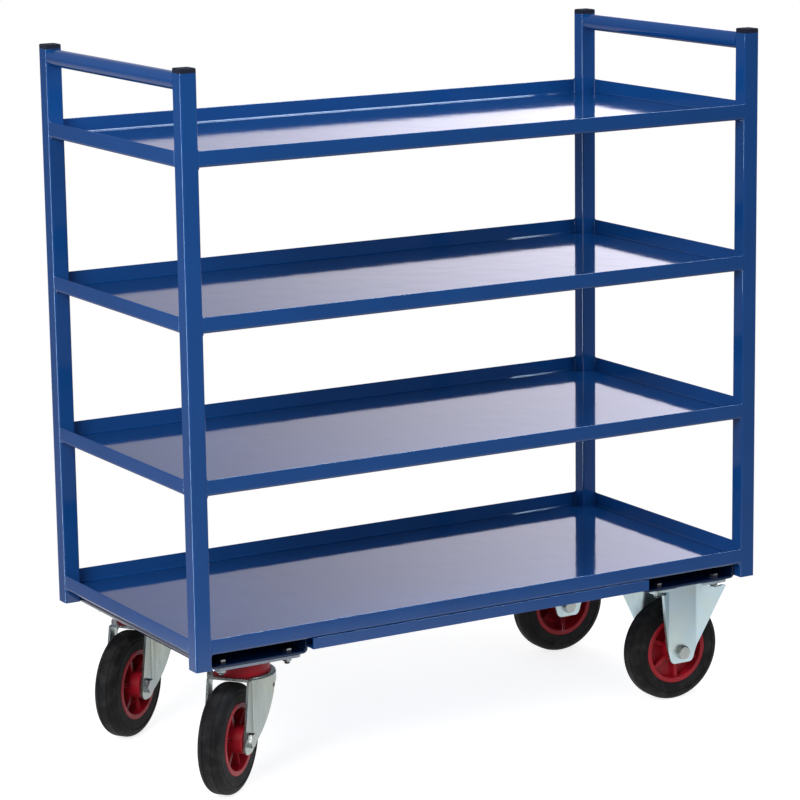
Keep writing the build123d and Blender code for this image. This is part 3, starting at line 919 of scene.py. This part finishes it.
def move_out(vert, distance):
    """Move a vertex away from the axle."""
    grown = 1 + distance / vert.co.xy.length
    vert.co.x *= grown
    vert.co.y *= grown


def face_radius(face):
    """How far the middle of a face is from the axle."""
    return face.calc_center_median().xy.length


rib_steps = 8


def hub_shape():
    """A hub: flat rings spun round the axle, raised in terraces and mirrored to the other face."""
    sizes = settings().wheel
    pitch = math.tau / sizes.rib_count
    step = pitch / rib_steps
    half_rib = sizes.rib_width / 2
    boss, bevel = sizes.boss_radius, sizes.moulded_edge
    rim_inner = sizes.rim_radius - sizes.rim_wall
    widths = (sizes.web, sizes.rib_height, sizes.rim_width, sizes.boss_length)
    web, ribs, rim, end = [width / 2 for width in widths]
    rings = (sizes.bore_radius, boss, rim_inner, sizes.rim_radius)
    bm = turned([(radius, web) for radius in rings], rib_steps * sizes.rib_count, closed=False)

    def terrace(faces, rise):
        """Raise faces straight up and then by the bevel, and return the new top."""
        return raise_faces(bm, raise_faces(bm, faces, (0, 0, rise - bevel)), (0, 0, bevel))

    for vert in bm.verts:
        beside = abs(abs(off_rib(vert.co, pitch)) - step) < step / 4
        if beside and boss - slack < vert.co.xy.length < rim_inner + slack:
            beside_rib(vert, half_rib, pitch)
    high = [face for face in bm.faces if not boss <= face_radius(face) <= rim_inner
            or abs(off_rib(face.calc_center_median(), pitch)) < step]
    top = terrace(high, ribs - web)
    for vert in rim_verts(top):
        away = abs(off_rib(vert.co, pitch)) * vert.co.xy.length
        if abs(away - half_rib) < bevel / 2:
            beside_rib(vert, half_rib - bevel, pitch)
    top = terrace([face for face in top if not boss <= face_radius(face) <= rim_inner], rim - ribs)
    for vert in rim_verts(top):
        radius = vert.co.xy.length
        if radius > boss + mm:
            move_out(vert, bevel if radius < rim_inner + mm else -bevel)
    top = terrace([face for face in top if face_radius(face) < boss], end - rim)
    for vert in rim_verts(top):
        move_out(vert, bevel / 2 if vert.co.xy.length < sizes.bore_radius + mm else -bevel)
    for vert in bm.verts:
        if abs(vert.co.xy.length - rim_inner) < bevel + slack:
            move_out(vert, (vert.co.z - web) / (rim - web) * sizes.rim_draft)
    borders = [edge for edge in bm.edges if edge.is_boundary]
    made = bmesh.ops.extrude_edge_only(bm, edges=borders)["geom"]
    for vert in picked(made, bmesh.types.BMVert):
        vert.co.z = 0
    whole = bm.verts[:] + bm.edges[:] + bm.faces[:]
    bmesh.ops.mirror(bm, geom=whole, matrix=Matrix(), merge_dist=touching, axis="Z")
    return bm


# The tyre's outline in millimetres: the groove in its wall as (radius, depth), its tread as (depth, height)
tyre_wall = ((66.0, 0), (66.5, 0.4), (67.1, 0.9), (67.8, 0.9), (68.4, 0.4))
tyre_tread = ((0.9, 7.3), (0.9, 6.6), (0, 6.0), (0, 2.0))
tyre_gap, tyre_lip = (0.05, 0.6), (0.85, 0)
shoulder_steps = 10


def tyre_shape():
    """A solid tyre: a flat wall with a groove, a round shoulder, and a tread with a groove at each side."""
    sizes = settings().wheel
    seat, half = sizes.rim_radius, sizes.tyre_width / 2
    outside, curve = sizes.tyre_radius, sizes.tyre_shoulder
    profile = [(seat + out * mm, half - depth * mm) for out, depth in (tyre_gap, tyre_lip)]
    profile += [(radius * mm, half - depth * mm) for radius, depth in tyre_wall]
    for index in range(shoulder_steps):
        turn = index / shoulder_steps * math.pi / 2
        profile.append((outside - curve + curve * math.sin(turn), half - curve + curve * math.cos(turn)))
    profile += [(outside - depth * mm, height * mm) for depth, height in tyre_tread]
    profile += [(radius, -height) for radius, height in reversed(profile)]
    return turned(profile, 120)


class TROLLEY_OT_bearings(Operator):
    """Give the swivel heads' and axles' inner pieces their finishes"""
    bl_idname = "trolley.bearings"
    bl_label = "Bearings"

    def execute(self, context):
        head = dict.fromkeys(("king_bolt", "king_washer", "king_nut"), "bolt_zinc") | {"balls": "ball_steel"}
        inner = {"axle_sleeve": "bolt_zinc", "hub_bush": "bush_plastic"}
        for side, kind in castors:
            names = inner | head if kind == "swivel" else inner
            for name, slot in names.items():
                node = frame["nodes"][f"{side}_{kind}_{name}"]
                node.data.materials.clear()
                node.data.materials.append(finish(slot))
        return {"FINISHED"}


camera_spot = (-2.36126, -4.01710, 1.46008)
camera_turn = (78.20797, 0.78594, -30.48187)
camera_lens, camera_sensor = 142.1736, 36


class TROLLEY_OT_stage(Operator):
    """Set the camera, the floor and the studio light"""
    bl_idname = "trolley.stage"
    bl_label = "Stage"

    def execute(self, context):
        stage = settings().stage
        lens = set_all(bpy.data.cameras.new("Camera"), lens=camera_lens, sensor_width=camera_sensor)
        camera = bpy.data.objects.new("Camera", lens)
        camera.location = camera_spot
        camera.rotation_euler = [math.radians(turn) for turn in camera_turn]
        context.scene.collection.objects.link(camera)
        context.scene.camera = camera
        context.scene.view_settings.view_transform = "Standard"
        softbox("Key", spot=(-2.07, -1.24, 1.6), target=(-0.2, 0, 0.6), width=1.2, height=1.2,
                power=stage.key_power)
        softbox("Top", spot=(1.15, -0.95, 3.1), target=(0, 0, 0.9), width=1.8, height=1.2,
                power=stage.top_power)
        studio_world(context.scene, stage)
        studio_floor(context.scene, stage)
        return {"FINISHED"}


def softbox(name, spot, target, width, height, power):
    """A rectangular lamp that looks at a point and stays out of the picture."""
    lamp = bpy.data.lights.new(name, "AREA")
    set_all(lamp, shape="RECTANGLE", size=width, size_y=height, energy=power)
    box = bpy.data.objects.new(name, lamp)
    box.location = spot
    box.rotation_euler = (Vector(target) - Vector(spot)).to_track_quat("-Z", "Y").to_euler()
    box.visible_camera = False
    bpy.context.scene.collection.objects.link(box)


# Directions in the studio
rear_way, right_way = (0.50, 0.866, 0), (0.866, -0.50, 0)
side_glint_way, top_glint_way = (-0.920, 0.335, -0.204), (0.494, -0.204, 0.845)
# Bands of a ray's height, or of its cosine with a direction, in which one brightness turns into the next
backdrop_band, ceiling_band = (0.08, 0.20), (0.30, 0.46)
floor_band, horizon_band = (-0.10, -0.40), (-0.03, 0.03)
slope_band, rear_band, glint_band = (-0.11, 0.20), (0.75, 0.93), (0.984, 0.995)
front_to_back_band, overhead_band, ground_band = (-0.3, 0.5), (0.30, 0.80), (-0.10, 0.10)


def studio_world(scene, stage):
    """White behind the object; a soft sky lights it, and gloss finds a backdrop, a dimmer room and a floor."""
    scene.world = bpy.data.worlds.new("Studio")
    nodes = ShaderNodes(scene.world)
    kinds, mirrored = nodes.rays()
    direction = nodes.add("TexCoord").outputs["Generated"]
    height = nodes.add("SeparateXYZ", {0: direction}).outputs[2]

    def towards(way):
        return nodes.add("VectorMath", {0: direction, 1: way}, operation="DOT_PRODUCT").outputs["Value"]

    def turn(value, band, first, second):
        """One brightness below the band and another above it."""
        return nodes.choose(nodes.level(value, *band, 0, 1), first, second)

    behind = towards(rear_way)
    sloped = nodes.math("MULTIPLY", nodes.level(height, *backdrop_band, stage.backdrop, stage.upper_backdrop),
                        nodes.level(towards(right_way), *slope_band, stage.left_share, stage.right_share))
    sky = turn(behind, rear_band, stage.room, turn(height, ceiling_band, sloped, stage.room))
    near = nodes.level(height, *floor_band, stage.far_floor, stage.near_floor)
    gloss = turn(height, horizon_band, turn(behind, rear_band, near, stage.rear_floor), sky)
    glinting = 0.0
    for way, brightness in ((side_glint_way, stage.side_glint), (top_glint_way, stage.top_glint)):
        patch = nodes.level(towards(way), *glint_band, 0, 1)
        gloss = nodes.choose(patch, gloss, brightness)
        glinting = nodes.choose(patch, glinting, 1.0)
    low = turn(behind, front_to_back_band, stage.low_sky, stage.back_sky)
    ambient = turn(height, ground_band, stage.ground, turn(height, overhead_band, low, stage.high_sky))
    tint = nodes.blend(mirrored, (1, 1, 1), nodes.blend(glinting, stage.tint, stage.glint_tint))
    lit = nodes.choose(mirrored, ambient, gloss)
    background = nodes.tree.nodes["Background"]
    nodes.feed(background.inputs["Color"], tint)
    nodes.feed(background.inputs["Strength"], nodes.choose(kinds["Is Camera Ray"], lit, 1.0))


floor_radius, fade_start, fade_end = 2.6, 0.62, 1.15
paper_tint = (0.52, 0.52, 0.52, 1)


def studio_floor(scene, stage):
    """A pale disc under the trolley that keeps its shadow and fades into the white behind."""
    bm = bmesh.new()
    bmesh.ops.create_circle(bm, cap_ends=True, segments=96, radius=floor_radius)
    mesh = bpy.data.meshes.new("Floor")
    bm.to_mesh(mesh)
    bm.free()
    floor = bpy.data.objects.new("Floor", mesh)
    scene.collection.objects.link(floor)
    material = bpy.data.materials.new("floor_paper")
    nodes = ShaderNodes(material)
    nodes.tree.nodes.remove(nodes.tree.nodes["Principled BSDF"])
    kinds, mirrored = nodes.rays()
    shown = nodes.math("MULTIPLY", nodes.math("MAXIMUM", kinds["Is Camera Ray"], mirrored), stage.floor_glow)
    paper = nodes.add("BsdfDiffuse", {"Color": paper_tint})
    glow = nodes.add("Emission", {"Color": (1, 1, 1, 1), "Strength": shown})
    both = nodes.add("AddShader", {0: paper.outputs[0], 1: glow.outputs[0]})
    spot = nodes.add("TexCoord").outputs["Object"]
    away = nodes.add("VectorMath", {0: spot}, operation="LENGTH").outputs["Value"]
    clear = nodes.add("BsdfTransparent")
    fade = nodes.level(away, fade_start, fade_end, 0, 1)
    mix = nodes.add("MixShader", {0: fade, 1: both.outputs[0], 2: clear.outputs[0]})
    nodes.feed(nodes.tree.nodes["Material Output"].inputs["Surface"], mix.outputs[0])
    mesh.materials.append(material)


class TROLLEY_PT_sidebar(Panel):
    """Sizes, finishes and build steps of the trolley"""
    bl_idname = "TROLLEY_PT_sidebar"
    bl_label = "Shelf trolley"
    bl_space_type = "VIEW_3D"
    bl_region_type = "UI"
    bl_category = "Trolley"

    def draw(self, context):
        for step in steps:
            self.layout.operator(step.bl_idname)
        for group in ("body", "castor", "wheel", "finish", "stage"):
            box = self.layout.box()
            box.label(text=group.title())
            values = getattr(settings(), group)
            for name in values.__annotations__:
                box.prop(values, name)


steps = (
    TROLLEY_OT_stage,
    TROLLEY_OT_posts,
    TROLLEY_OT_caps,
    TROLLEY_OT_handles,
    TROLLEY_OT_trays,
    TROLLEY_OT_base,
    TROLLEY_OT_welds,
    TROLLEY_OT_plate_fasteners,
    TROLLEY_OT_swivel_heads,
    TROLLEY_OT_forks,
    TROLLEY_OT_brackets,
    TROLLEY_OT_axles,
    TROLLEY_OT_wheels,
    TROLLEY_OT_bearings,
)
groups = (FrameSizes, CastorSizes, WheelSizes, Finishes, StageSettings, TrolleySettings)


def register():
    for item in (*groups, *steps, TROLLEY_PT_sidebar):
        bpy.utils.register_class(item)
    bpy.types.Scene.shelf_trolley = PointerProperty(type=TrolleySettings)


def unregister():
    del bpy.types.Scene.shelf_trolley
    for item in reversed((*groups, *steps, TROLLEY_PT_sidebar)):
        bpy.utils.unregister_class(item)


def main():
    register()
    for step in steps:
        family, name = step.bl_idname.split(".")
        getattr(getattr(bpy.ops, family), name)()


if __name__ == "__main__":
    main()
